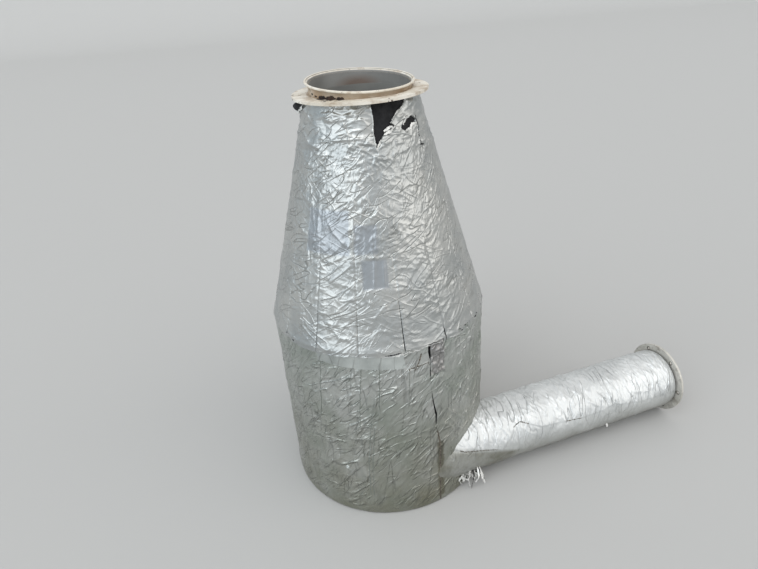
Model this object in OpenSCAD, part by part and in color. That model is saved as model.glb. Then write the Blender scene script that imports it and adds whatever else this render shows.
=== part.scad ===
// Insulated cyclone separator, standing upside down on its flat roof.
// The dust outlet is at the top, and the tangential inlet duct leaves along +X.
// Origin: centre of the gas outlet on the floor plane. +Z points to the dust outlet.

/* [Barrel] */
// Outer diameter of the steel barrel
barrel_d = 522; // [460:1:600]
// Height of the shoulder, where the barrel meets the cone, above the floor
shoulder_z = 520; // [420:1:620]
// Thickness of the sheet that the barrel, cone and neck are rolled from
sheet_t = 2; // [1.5:0.1:3]
// Thickness of the roof plate
roof_t = 3; // [2:0.5:6]

/* [Cone] */
// Height of the cone from the shoulder to the dust flange
cone_h = 523; // [420:1:640]
// Outer diameter of the neck at the small end of the cone
neck_d = 232; // [180:1:260]

/* [Neck and dust flange] */
// Height of the neck above the underside of the dust flange, on the cyclone's axis
neck_h = 29; // [28:1:60]
// Height of the band of the rim's ring that laps the neck
rim_lap = 3; // [2:0.5:3.5]
// Lean of the neck's rim, which isn't level, as an angle
lip_lean = 4.5; // [0:0.5:5]
// Direction in which the neck's rim is lowest
lip_low_deg = -67; // [-180:1:180]
// Outside radius of the bead that is rolled round the neck's edge
bead_r = 2.6; // [2:0.1:4]
// Distance that the bead stands out from the neck
lip_out = 8; // [7:0.5:14]
// Distance from the neck to the dust flange's bolt circle
dust_bolt_inset = 19; // [17:1:40]
// Distance from the dust flange's bolt circle to its rim
dust_bolt_edge = 19; // [10:1:40]
// Direction of the dust flange's first bolt hole
dust_bolt_deg = -130; // [-180:1:180]
// Thickness of both flanges
flange_t = 6; // [4:0.5:10]
// Number of bolts in each flange
flange_bolts = 6; // [4:1:8]
// Diameter of each bolt hole
bolt_hole_d = 9; // [6:0.5:11]

/* [Inlet duct] */
// Outer diameter of the steel inlet duct
duct_d = 152; // [120:1:170]
// Thickness of the duct's wall
duct_t = 2; // [1.5:0.1:3]
// Distance from the cyclone's axis to the open end of the duct
duct_reach = 835; // [600:1:1000]
// Distance that the duct lies inside the tangent to the barrel
duct_inset = 3; // [1.5:0.5:10]
// Distance from the duct to the inlet flange's bolt circle
inlet_bolt_inset = 14; // [10:1:40]
// Distance from the inlet flange's bolt circle to its rim, which touches the floor
inlet_bolt_edge = 14; // [10:1:40]
// Direction of the inlet flange's first bolt hole, from straight down
inlet_bolt_deg = 90; // [-180:1:180]

/* [Gas outlet] */
// Outer diameter of the gas outlet tube that hangs inside the barrel
vortex_d = 200; // [160:1:206]
// Length of the gas outlet tube
vortex_len = 240; // [200:1:320]

/* [Insulation] */
// Thickness of the foil-faced foam
foam_t = 12; // [8:0.5:16]
// Radius of the rounded lower edge of the barrel's foam
foam_round = 8; // [2:0.5:9]
// Number of tapered gores round the cone
gores = 16; // [12:1:20]
// Direction of the seam between the first and the last gore
gore_seam_deg = -96.5; // [-120:0.5:-75]
// Opening of each gore seam, as an angle
seam_deg = 0.2; // [0.1:0.05:0.5]
// Direction of the barrel foam's front seam, beside the duct
front_seam_deg = -84; // [-88:0.5:-84]
// Direction of the barrel foam's back seam
back_seam_deg = 81; // [60:1:120]
// Direction of the seam at the far edge of the barrel foam's narrow strip
strip_seam_deg = 245; // [200:1:260]
// Length of the near foam sleeve, from the axis to the joint in the duct's foam
sleeve_joint = 285; // [270:1:400]
// Gap left between the end of the foam and the inlet flange
sleeve_gap = 5; // [2:0.5:15]
// Width of the tape band below the shoulder
tape_w = 32; // [20:1:60]
// Drop from the shoulder to the top of the tape band
tape_drop = 10; // [5:1:30]
// Thickness of the tape band
tape_t = 0.8; // [0.5:0.1:1.5]

/* [Clearances] */
// Clearance between welded steel pieces
weld_gap = 0.2; // [0.1:0.05:0.4]
// Clearance between the foam and what it covers
foam_gap = 0.3; // [0.2:0.05:0.6]

/* [Hidden] */
$fn = 180;

GORE_NAMES = [for (k = [1:gores]) str("cone_gore_", k < 10 ? "0" : "", k)];
BARREL_NAMES = ["barrel_wrap_right", "barrel_wrap_left", "barrel_wrap_strip"];

steel = [0.56, 0.56, 0.54];
paint = [0.82, 0.79, 0.72];
galvanised = [0.66, 0.66, 0.64];
foil = [0.78, 0.80, 0.80];
foam = [0.12, 0.12, 0.13];
tape = [0.70, 0.72, 0.71];

barrel_r = barrel_d / 2;
neck_r = neck_d / 2;
duct_r = duct_d / 2;
vortex_r = vortex_d / 2;
roof_z = foam_t;
barrel_z = roof_z + roof_t;
neck_z = shoulder_z + cone_h;
wrap_r = barrel_r + foam_t;
duct_wrap_r = duct_r + foam_t;
duct_y = -(barrel_r - duct_r - duct_inset);
dust_bolt_r = neck_r + dust_bolt_inset;
inlet_bolt_r = duct_r + inlet_bolt_inset;
inlet_flange_r = inlet_bolt_r + inlet_bolt_edge;
duct_z = inlet_flange_r;
duct_flange_x = duct_reach - flange_t;
barrel_seams_deg = [front_seam_deg, back_seam_deg, strip_seam_deg, front_seam_deg + 360];
hole_allowance = 1;

// Places its children on the inlet duct's axis, turned so that +Z runs along it
module on_duct(x = 0) {
    translate([x, duct_y, duct_z]) rotate([0, 90, 0]) children();
}

// A straight tube standing on z = 0
module tube(outer_r, inner_r, height) {
    difference() {
        cylinder(r = outer_r, h = height);
        translate([0, 0, -hole_allowance]) cylinder(r = inner_r, h = height + 2 * hole_allowance);
    }
}

// A flat ring with evenly spaced bolt holes at bolt_r, the first one at start_deg
module bolted_ring(outer_r, inner_r, bolt_r, start_deg) {
    difference() {
        tube(outer_r, inner_r, flange_t);
        for (k = [0:flange_bolts - 1])
            rotate([0, 0, start_deg + k * 360 / flange_bolts])
                translate([bolt_r, 0, -hole_allowance])
                    cylinder(d = bolt_hole_d, h = flange_t + 2 * hole_allowance);
    }
}

module roof_plate() {
    color(steel) translate([0, 0, roof_z]) tube(barrel_r, vortex_r + weld_gap, roof_t);
}

module barrel_shell() {
    color(steel) difference() {
        translate([0, 0, barrel_z]) tube(barrel_r, barrel_r - sheet_t, shoulder_z - barrel_z);
        on_duct() cylinder(r = duct_r - duct_t, h = barrel_r + hole_allowance);
    }
}

module cone_shell() {
    color(steel) rotate_extrude() polygon([
        [barrel_r - sheet_t, shoulder_z],
        [barrel_r, shoulder_z],
        [neck_r, neck_z],
        [neck_r - sheet_t, neck_z]
    ]);
}

// Leans its children with the neck's rim, about the axis at the height z
module leaning(z) {
    translate([0, 0, z]) rotate([0, 0, lip_low_deg]) rotate([0, lip_lean, 0]) children();
}

// A ring that laps the top of the neck, turns outwards over a quarter circle and ends in a rolled bead
module rim(flare_r) {
    rotate_extrude() union() {
        translate([neck_r - sheet_t / 2, -rim_lap]) square([sheet_t, rim_lap]);
        translate([neck_r + sheet_t / 2 + flare_r, 0]) intersection() {
            difference() {
                circle(r = flare_r + sheet_t);
                circle(r = flare_r);
            }
            translate([-flare_r - sheet_t, 0]) square(flare_r + sheet_t);
        }
        translate([neck_r + sheet_t / 2 + flare_r, flare_r + sheet_t / 2]) circle(r = bead_r);
    }
}

module neck_collar() {
    flare_r = lip_out - bead_r - sheet_t / 2;
    flare_z = neck_h - bead_r - flare_r - sheet_t / 2;
    color(paint) translate([0, 0, neck_z]) union() {
        difference() {
            tube(neck_r, neck_r - sheet_t, 2 * flare_z);
            leaning(flare_z) translate([-neck_d, -neck_d, 0]) cube(2 * neck_d);
        }
        leaning(flare_z) rim(flare_r);
    }
}

module dust_flange() {
    color(paint) translate([0, 0, neck_z])
        bolted_ring(dust_bolt_r + dust_bolt_edge, neck_r + weld_gap, dust_bolt_r, dust_bolt_deg);
}

module vortex_finder() {
    color(steel) tube(vortex_r, vortex_r - sheet_t, vortex_len);
}

module inlet_duct() {
    color(steel) difference() {
        on_duct() tube(duct_r, duct_r - duct_t, duct_reach);
        translate([0, 0, -hole_allowance])
            cylinder(r = barrel_r + weld_gap, h = shoulder_z);
    }
}

module inlet_flange() {
    color(galvanised) on_duct(duct_flange_x)
        bolted_ring(inlet_flange_r, duct_r + weld_gap, inlet_bolt_r, inlet_bolt_deg);
}

module roof_pad() {
    color(foam) tube(barrel_r, vortex_r + foam_gap, foam_t - foam_gap);
}

// Section through the barrel's foam, with its lower outer edge rounded
module barrel_foam_section() {
    inner_r = barrel_r + foam_gap;
    top_z = shoulder_z - foam_gap;
    union() {
        translate([inner_r, 0]) square([foam_t - foam_gap - foam_round, top_z]);
        translate([inner_r, foam_round]) square([foam_t - foam_gap, top_z - foam_round]);
        translate([wrap_r - foam_round, foam_round]) intersection() {
            circle(r = foam_round);
            translate([0, -foam_round]) square(foam_round);
        }
    }
}

// One upright panel of the barrel's foam, from one seam direction to the next
module barrel_panel(start_deg, end_deg) {
    color(foil) difference() {
        rotate([0, 0, start_deg + seam_deg / 2])
            rotate_extrude(angle = end_deg - start_deg - seam_deg) barrel_foam_section();
        on_duct() cylinder(r = duct_r + foam_gap, h = wrap_r + hole_allowance);
    }
}

module barrel_wrap(k) {
    barrel_panel(barrel_seams_deg[k], barrel_seams_deg[k + 1]);
}

// One tapered gore of the cone's foam
module cone_gore(k) {
    pitch = 360 / gores;
    top_z = neck_z - foam_gap;
    color(foil) rotate([0, 0, gore_seam_deg + k * pitch + seam_deg / 2])
        rotate_extrude(angle = pitch - seam_deg) polygon([
            [barrel_r + foam_gap, shoulder_z],
            [wrap_r, shoulder_z],
            [neck_r + foam_t, top_z],
            [neck_r + foam_gap, top_z]
        ]);
}

// A foam sleeve on the duct between two distances from the cyclone's axis
module duct_sleeve(from_x, to_x) {
    color(foil) difference() {
        on_duct(from_x) tube(duct_wrap_r, duct_r + foam_gap, to_x - from_x);
        translate([0, 0, -hole_allowance])
            cylinder(r = wrap_r + foam_gap, h = shoulder_z);
    }
}

module duct_wrap_near() {
    duct_sleeve(0, sleeve_joint - foam_gap);
}

module duct_wrap_far() {
    duct_sleeve(sleeve_joint, duct_flange_x - sleeve_gap);
}

module shoulder_tape() {
    color(tape) translate([0, 0, shoulder_z - tape_drop - tape_w])
        tube(wrap_r + foam_gap + tape_t, wrap_r + foam_gap, tape_w);
}

roof_plate();
barrel_shell();
cone_shell();
neck_collar();
dust_flange();
vortex_finder();
inlet_duct();
inlet_flange();
roof_pad();
duct_wrap_near();
duct_wrap_far();
shoulder_tape();
for (k = [0:len(BARREL_NAMES) - 1])
    barrel_wrap(k);
for (k = [0:gores - 1])
    cone_gore(k);
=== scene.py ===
"""Insulated cyclone separator: crumpled foil over black foam, a painted neck and a zinc duct flange."""
import math

import bpy
import numpy as np
from mathutils import Matrix, Vector


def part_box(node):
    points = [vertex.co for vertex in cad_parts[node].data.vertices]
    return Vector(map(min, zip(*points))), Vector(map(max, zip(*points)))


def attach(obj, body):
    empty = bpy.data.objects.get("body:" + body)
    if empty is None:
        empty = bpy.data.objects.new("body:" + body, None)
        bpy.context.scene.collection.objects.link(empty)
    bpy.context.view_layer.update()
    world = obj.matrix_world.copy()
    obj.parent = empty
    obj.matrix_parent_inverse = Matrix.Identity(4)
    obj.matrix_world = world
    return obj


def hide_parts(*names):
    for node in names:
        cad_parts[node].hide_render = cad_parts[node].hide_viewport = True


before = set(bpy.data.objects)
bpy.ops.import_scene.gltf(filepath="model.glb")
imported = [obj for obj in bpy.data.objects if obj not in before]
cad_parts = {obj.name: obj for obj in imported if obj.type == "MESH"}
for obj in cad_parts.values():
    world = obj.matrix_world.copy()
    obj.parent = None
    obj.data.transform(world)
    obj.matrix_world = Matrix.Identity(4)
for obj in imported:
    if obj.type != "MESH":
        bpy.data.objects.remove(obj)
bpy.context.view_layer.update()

MM = 0.001

# Sizes taken from the frame, in metres
SHOULDER_Z, CONE_TOP_Z = (corner.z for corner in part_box("cone_gore_01"))
TAPE_LOW_Z, TAPE_TOP_Z = (corner.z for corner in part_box("shoulder_tape"))
WRAP_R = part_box("barrel_wrap_left")[1].y
BARREL_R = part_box("barrel_shell")[1].x
FOAM = WRAP_R - BARREL_R
NECK_R = 116 * MM
CONE_TOP_R = NECK_R + FOAM
DUCT_LOW, DUCT_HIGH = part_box("duct_wrap_far")
DUCT_Y = (DUCT_LOW.y + DUCT_HIGH.y) / 2
DUCT_Z = (DUCT_LOW.z + DUCT_HIGH.z) / 2
DUCT_R = (DUCT_HIGH.z - DUCT_LOW.z) / 2
STEEL_DUCT_R = DUCT_R - FOAM
FLANGE_HOLE_R = 90 * MM
JOINT_X, SLEEVE_END_X = DUCT_LOW.x, DUCT_HIGH.x
# The rim of the neck is lower on one side
LIP_LEAN = math.radians(4.5)
LIP_LEAN_TURN = math.radians(-67)

# The foil-faced foam stops this far from the steel under it
GAP = 0.3 * MM
FOAM_R = BARREL_R + GAP
# Radius at which the cone and barrel are laid flat for the shaders, and the cone for its relief
UNROLL_R = 0.2

GORES = 16
PITCH_DEG = 360 / GORES
SEAMS_DEG = [-96.5 + k * PITCH_DEG for k in range(GORES)]
# The back seam of the barrel, and the same place counted the other way round
BACK_SEAM_DEG = 81
BEHIND_DEG = BACK_SEAM_DEG - 360
ALL_ROUND = (BEHIND_DEG, 84)
# Directions from the axis that the photograph shows, where the grids are finer
FRONT_DEG = (-200, -20)


def between(value, low, high):
    """0 at low and 1 at high, and even steps between them."""
    return np.clip((value - low) / (high - low), 0, 1)


def on_axis(angle, radius, z):
    """Points round the cyclone's axis."""
    angle, radius, z = np.broadcast_arrays(angle, radius, z)
    return np.stack([radius * np.cos(angle), radius * np.sin(angle), z], -1)


def on_duct(x, angle, radius):
    """Points round the duct's axis. The angle runs from +Y towards +Z."""
    x, angle, radius = np.broadcast_arrays(x, angle, radius)
    return np.stack([x, DUCT_Y + radius * np.cos(angle), DUCT_Z + radius * np.sin(angle)], -1)


def within(outline, across, along):
    """Which points lie inside a closed outline."""
    hit = np.zeros(np.broadcast(across, along).shape, bool)
    for (x0, y0), (x1, y1) in zip(outline, outline[1:] + outline[:1]):
        crosses = (y0 > along) != (y1 > along)
        hit ^= crosses & (across < x0 + (along - y0) * (x1 - x0) / ((y1 - y0) or 1))
    return hit


def line_distance(lines, across, along, across_mm):
    """Distance in mm to the nearest of some lines. across_mm is the length of one degree in mm."""
    nearest = np.full(np.broadcast(across, along).shape, np.inf)
    for line in lines:
        for (x0, y0), (x1, y1) in zip(line[:-1], line[1:]):
            step = np.array([(x1 - x0) * across_mm, y1 - y0])
            dx, dy = (across - x0) * across_mm, along - y0
            t = np.clip((dx * step[0] + dy * step[1]) / (step @ step), 0, 1)
            nearest = np.minimum(nearest, np.hypot(dx - t * step[0], dy - t * step[1]))
    return nearest


def crossed(a, b):
    """The cross product of flat vectors."""
    return a[..., 0] * b[..., 1] - a[..., 1] * b[..., 0]


class Relief:
    """A height map over an unrolled surface, in metres. What is added to it has its directions in degrees,
    and its distances along, cells, widths and heights in mm."""

    PITCH = 1.5 * MM
    # How much steeper a fold is on one side
    SKEW = 0.35

    def __init__(self, turns_deg, alongs, radius):
        self.radius = radius
        turns = [math.radians(turn) * radius for turn in turns_deg]
        self.u0, self.v0 = turns[0], alongs[0]
        shape = [int((b - a) / self.PITCH) + 2 for a, b in (turns, alongs)]
        self.height = np.zeros(shape, np.float32)
        self.turn_deg = np.degrees((self.u0 + np.arange(shape[0]) * self.PITCH) / radius)[:, None]
        self.along_mm = ((self.v0 + np.arange(shape[1]) * self.PITCH) / MM)[None]

    def place(self, turn_deg, along_mm):
        """Grid position of a point."""
        u = math.radians(turn_deg) * self.radius
        return np.array([(u - self.u0) / self.PITCH, (along_mm * MM - self.v0) / self.PITCH])

    def clouds(self, cell, seed):
        """Smooth random values from 0 to 1 that change over about the cell's size."""
        step = cell * MM / self.PITCH
        lattice = np.random.default_rng(seed).random([int(n / step) + 3 for n in self.height.shape])
        spots = [np.arange(n) / step for n in self.height.shape]
        i, j = (spot.astype(int) for spot in spots)
        a, b = ((spot % 1) ** 2 * (3 - 2 * (spot % 1)) for spot in spots)
        low, high = (lattice[k][:, j] * (1 - b) + lattice[k][:, j + 1] * b for k in (i, i + 1))
        return low * (1 - a[:, None]) + high * a[:, None]

    def facets(self, cell, height, seed, stretch, mask=1.0):
        """Adds flat facets with sharp folds between them, as crumpled foil has."""
        rng = np.random.default_rng(seed)
        cells = [cell * MM * s / self.PITCH for s in stretch]
        counts = [int(n / s) + 4 for n, s in zip(self.height.shape, cells)]
        grid = np.stack(np.meshgrid(*[np.arange(n) - 1.5 for n in counts], indexing="ij"), -1)
        corners = np.empty(grid.shape[:2] + (3,))
        corners[..., :2] = (grid + rng.uniform(-0.42, 0.42, grid.shape)) * cells
        corners[..., 2] = rng.uniform(-1, 1, grid.shape[:2])
        a, b, c, d = corners[:-1, :-1], corners[1:, :-1], corners[1:, 1:], corners[:-1, 1:]
        flip = (rng.random(a.shape[:2]) < 0.5)[..., None]
        halves = [a, b, np.where(flip, d, c)], [np.where(flip, b, a), c, d]
        triangles = np.concatenate([np.stack(half, 2).reshape(-1, 3, 3) for half in halves])
        self.height += (height * MM * mask * self.raster(triangles)).astype(np.float32)

    def raster(self, triangles):
        """Heights of a net of triangles over the grid."""
        field = np.zeros(self.height.shape)
        low = np.floor(triangles[:, :, :2].min(1)).astype(int)
        size = int((triangles[:, :, :2].max(1) - low).max()) + 2
        cells = np.stack(np.meshgrid(*[np.arange(size)] * 2, indexing="ij"), -1)
        # Only so many at once as memory holds
        parts = max(1, len(triangles) * size * size // 4000000)
        for part in np.array_split(np.arange(len(triangles)), parts):
            spots = low[part, None, None] + cells
            p0, p1, p2 = (triangles[part, None, None, k] for k in range(3))
            e1, e2, d = p1 - p0, p2 - p0, spots - p0[..., :2]
            area = crossed(e1, e2)
            area = np.where(np.abs(area) < 1e-9, 1e-9, area)
            s, t = crossed(d, e2) / area, crossed(e1, d) / area
            inside = (s >= -1e-6) & (t >= -1e-6) & (s + t <= 1 + 1e-6)
            inside &= ((spots >= 0) & (spots < field.shape)).all(-1)
            heights = p0[..., 2] + s * e1[..., 2] + t * e2[..., 2]
            field[tuple(spots[inside].T)] = heights[inside]
        return field

    def fold(self, line, width, height, skew, taper=True):
        """Adds a raised fold along a line of grid positions. A skewed fold is steeper on one side."""
        line, width = np.asarray(line, float), width * MM / self.PITCH
        reach = int(4.5 * width) + 2
        low = np.maximum(np.floor(line.min(0)).astype(int) - reach, 0)
        high = np.minimum(np.ceil(line.max(0)).astype(int) + reach + 1, self.height.shape)
        if (high <= low).any():
            return
        x, y = np.meshgrid(*[np.arange(a, b, dtype=float) for a, b in zip(low, high)], indexing="ij")
        nearest, side, share = np.full(x.shape, np.inf), np.zeros(x.shape), np.zeros(x.shape)
        lengths = np.linalg.norm(np.diff(line, axis=0), axis=1)
        total, done = lengths.sum(), 0
        for start, end, length in zip(line[:-1], line[1:], lengths):
            ax, ay = (end - start) / max(length, 1e-9)
            dx, dy = x - start[0], y - start[1]
            t = np.clip(dx * ax + dy * ay, 0, length)
            gap = np.hypot(dx - t * ax, dy - t * ay)
            closer = gap < nearest
            nearest = np.where(closer, gap, nearest)
            side = np.where(closer, dx * ay - dy * ax, side)
            share = np.where(closer, (done + t) / total, share)
            done += length
        ends = np.minimum(1, 4 * np.minimum(share, 1 - share) + 0.15) if taper else 1
        rise = height * MM * ends * np.exp(-nearest / (width * (1 + skew * np.sign(side))))
        self.height[low[0]:high[0], low[1]:high[1]] += rise.astype(np.float32)

    def folds(self, lines, width, height):
        """Adds folds along lines of (direction, distance along)."""
        for line in lines:
            self.fold([self.place(*point) for point in line], width, height, self.SKEW)

    def scatter(self, seed, count, turns, alongs, slope, spread, length, width, height):
        """Adds random short folds. slope is their direction in degrees from round the surface."""
        rng = np.random.default_rng(seed)
        pieces = 3
        for _ in range(count):
            line = [self.place(rng.uniform(*turns), rng.uniform(*alongs))]
            heading = math.radians(rng.normal(slope, spread))
            bend = rng.normal(0, 0.3)
            step = rng.uniform(*length) * MM / self.PITCH / pieces
            for k in range(pieces):
                turned = heading + bend * (k / pieces - 0.5)
                line.append(line[-1] + step * np.array([math.cos(turned), math.sin(turned)]))
            wide, high = width * rng.uniform(0.7, 1.4), height * rng.uniform(0.4, 1.2)
            self.fold(line, wide, high, self.SKEW * rng.choice([-1, 1]))

    def soften(self):
        """Rounds the folds a little."""
        for axis in (0, 1):
            ahead, behind = np.roll(self.height, 1, axis), np.roll(self.height, -1, axis)
            self.height = (self.height * 2 + ahead + behind) / 4

    def sample(self, angle, along):
        """Heights at directions in radians and distances along in metres."""
        x = np.clip((angle * self.radius - self.u0) / self.PITCH, 0, self.height.shape[0] - 1.001)
        y = np.clip((along - self.v0) / self.PITCH, 0, self.height.shape[1] - 1.001)
        i, j = x.astype(int), y.astype(int)
        a, b = x - i, y - j
        low, high = (self.height[i, k] * (1 - a) + self.height[i + 1, k] * a for k in (j, j + 1))
        return low * (1 - b) + high * b


# Folds of the cone's foil that stand out, as lines of (direction in degrees, height in mm)
CONE_FOLDS = [
    [(-141, 1028), (-127, 1019), (-104, 1022), (-98, 1013)], [(-145, 1007), (-128, 1012), (-99, 1010)],
    [(-137, 969), (-124, 981), (-117, 990), (-103, 992)], [(-163, 971), (-160, 959), (-146, 956)],
    [(-169, 976), (-161, 964)], [(-126, 1014), (-122, 991), (-120, 978), (-121, 955)],
    [(-117, 967), (-104, 942)], [(-127, 842), (-120, 855), (-117, 845), (-121, 833), (-127, 842)],
    [(-114, 742), (-111, 731), (-106, 729), (-98, 732)],
    [(-137, 808), (-132, 782), (-125, 760), (-121, 752)], [(-136, 874), (-132, 852)],
    [(-134, 885), (-126, 866)], [(-119, 810), (-119, 751)], [(-151, 740), (-150, 700)],
    [(-105, 781), (-106, 742)], [(-73, 858), (-75, 833)], [(-75, 749), (-77, 713)],
    [(-116, 600), (-114, 591), (-110, 585)], [(-113, 602), (-110, 599), (-105, 620), (-102, 632)],
    [(-112, 556), (-109, 569), (-106, 570), (-101, 563)], [(-140, 570), (-133, 586)],
    [(-135, 562), (-129, 590)], [(-131, 566), (-123, 588)], [(-131, 552), (-124, 553), (-122, 546)],
    [(-123, 572), (-119, 557)], [(-93, 556), (-87, 550)], [(-94, 536), (-86, 531)],
]
# Folds on the smooth patch of the cone's foil
PATCH_FOLDS = [[(-107.2, 727), (-108.6, 663)], [(-102.1, 725), (-103, 661)]]

# Where the cone's foil is torn off the foam, in the same units
TEARS = [
    [
        (-99.8, 1060), (-62.9, 1060), (-63.8, 1032), (-70.5, 1022), (-75.1, 1018), (-78.2, 1010),
        (-81.3, 1004), (-83.2, 997), (-79.8, 988), (-82, 983), (-87.1, 980), (-91.1, 977), (-93.9, 969),
        (-96.5, 960), (-98.3, 953), (-98.6, 970), (-99.3, 982), (-98.1, 1009), (-98.8, 1027),
    ],
    [
        (-61.3, 1005), (-55, 993), (-55.5, 985), (-62, 986), (-64.6, 979), (-71.1, 976), (-74.3, 982),
        (-73, 989), (-68.1, 999),
    ],
]
TORN_LINES = [
    [(-54, 998), (-54, 982), (-55.3, 963)], [(-56.4, 960), (-56.4, 956)],
    [(-56.6, 946), (-57.2, 940), (-53, 938)],
]
ISLANDS = [[(-90, 985), (-84, 992), (-82.6, 988), (-88.4, 980.5)]]
# Where the foam bulges out bare under the dust flange, and the middle of the bulge
FOAM_LUMP = [
    (-205, 1060), (-181, 1060), (-180, 1036), (-182, 1024), (-188, 1017), (-197, 1016), (-203, 1024),
]
LUMP_DEG = -192
LUMP_MM = 1026

# Folds of the barrel's foil that stand out
BARREL_FOLDS = [
    [(-121, 413), (-125, 396), (-127, 373), (-132, 336)],
    [(-128, 445), (-132, 411), (-134, 381), (-138, 338)], [(-101, 423), (-105, 402)],
    [(-101, 441), (-108, 415)], [(-86, 313), (-92, 274), (-100, 262)],
    [(-90, 329), (-94, 292), (-102, 264)], [(-84, 267), (-88, 258)], [(-99, 247), (-102, 227)],
    [(-74, 306), (-60, 231)], [(-74, 284), (-63, 202)], [(-75, 264), (-68, 213)],
]
BARREL_LINES = [[(-140, 498), (-149, 103)], [(-118.2, 506), (-122.1, 299)], [(-95, 464), (-96.1, 357)]]
PIN_DEG = -132
PIN_Z = 0.158
# The seams of the barrel's foam. The lap is to the left of the front seam, and the back seam has two counts
MAIN_SEAM = [
    (-80.1, 0), (-80.1, 35), (-79.5, 134), (-79.4, 208), (-80.4, 241), (-81.4, 264), (-81.2, 303),
    (-82.2, 329), (-83.3, 370), (-83.5, 411), (-83.9, 439), (-83.5, 473), (-84.2, 496), (-84, 520),
]
LAP_SEAM = [
    (-119.9, 0), (-119.9, 72), (-119.8, 128), (-118.4, 208), (-116.2, 259), (-113.1, 313), (-111.6, 351),
    (-110.6, 388), (-110.5, 424), (-111.8, 469), (-111.8, 520),
]
BACK_SEAM = [(BACK_SEAM_DEG, 0)]
BEHIND_SEAM = [(BEHIND_DEG, 0)]
# Half the opening of the front seam, in mm, against the height in mm, and of the other seams
SLITS = [
    (0, 0.1), (240, 0.1), (266, 0.2), (276, 1.2), (300, 2.8), (335, 1.6), (372, 0.8), (378, 0.1),
    (417, 0.1), (424, 1.0), (440, 1.3), (452, 0.8), (458, 0.2), (474, 0.3), (480, 2.2), (500, 2.8),
    (516, 2.4),
]
HAIRLINE = [(0, 0.2)]
CLOSED = [(0, 0)]
# Lines of painted shade along the barrel's folds and the edges of its lap, and its cracks
CREASE_SHADE_LINES = [
    [(-118.2, 480), (-119.8, 420), (-122.1, 299)], [(-109.3, 480), (-110.6, 400), (-111.3, 360)],
    [(-95, 458), (-96.1, 357)], [(-114.4, 301), (-117.2, 190), (-118.5, 69)],
    [(-116, 320), (-119.2, 190), (-120.1, 74)], [(-140, 480), (-144, 320)],
]
CRACKS = [
    [(-88.5, 498), (-89.5, 482), (-91, 466), (-92, 456)],
    [(-95, 462), (-90, 466), (-86, 467), (-84.5, 466)],
]
# Lower edge of the cone's foil, which laps the barrel, and of the tape under it
SKIRT_EDGE = [
    (-154, 506), (-140, 507), (-133, 509), (-126, 510), (-122, 514), (-119, 510), (-115, 512), (-109, 508),
    (-103, 508), (-97, 513), (-94, 510), (-91, 509), (-87, 514), (-84, 516), (-81, 516), (-74, 511),
    (-72, 514), (-66, 508), (-60, 508),
]
TAPE_EDGE = [
    (-154, 484), (-140, 485), (-129, 480), (-119, 477), (-109, 474), (-100, 470), (-89, 465), (-84, 468),
]
# Where the cone's seams gape: direction, lower and upper height in mm, half the opening at each
GAPES = [
    (-141.5, 500, 630, 0.35, 0.2), (-119, 500, 619, 0.35, 0.2), (-96.5, 500, 634, 1.4, 0.4),
    (-74, 500, 549, 1.5, 1.3),
]

# The lap in the duct's foil, as (distance along in mm, angle from +Y over the top in degrees)
DUCT_LAP = [
    (97, 147), (123, 156), (175, 164), (219, 172), (234, 176), (245, 166), (265, 158), (278, 141),
    (300, 136), (320, 140), (324, 144), (360, 157), (440, 161), (489, 165), (506, 166), (530, 165),
    (561, 165), (586, 160), (600, 157), (634, 165), (700, 172), (840, 176),
]
# Folds of the duct's foil that stand out, and lines of painted shadow under the edge of its lap, as (angle,
# distance along)
DUCT_FOLDS = [
    [(109, 340), (136, 367)], [(128, 325), (126, 345), (135, 361)], [(135, 513), (156, 556)],
    [(146, 423), (163, 440)], [(110, 238), (136, 232)], [(113, 292), (135, 282)], [(106, 421), (140, 426)],
    [(96, 595), (156, 629)], [(112, 741), (139, 748), (155, 743)], [(142, 724), (158, 724), (180, 735)],
    [(143, 793), (159, 786), (180, 779)], [(149, 674), (152, 704)], [(160, 586), (157, 600), (165, 634)],
]
DUCT_LAP_SHADOW = [
    [(152, 112), (156, 123), (164, 175), (172, 219)], [(141, 278), (136, 300), (144, 324)],
    [(161, 440), (165, 489)],
]


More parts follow.
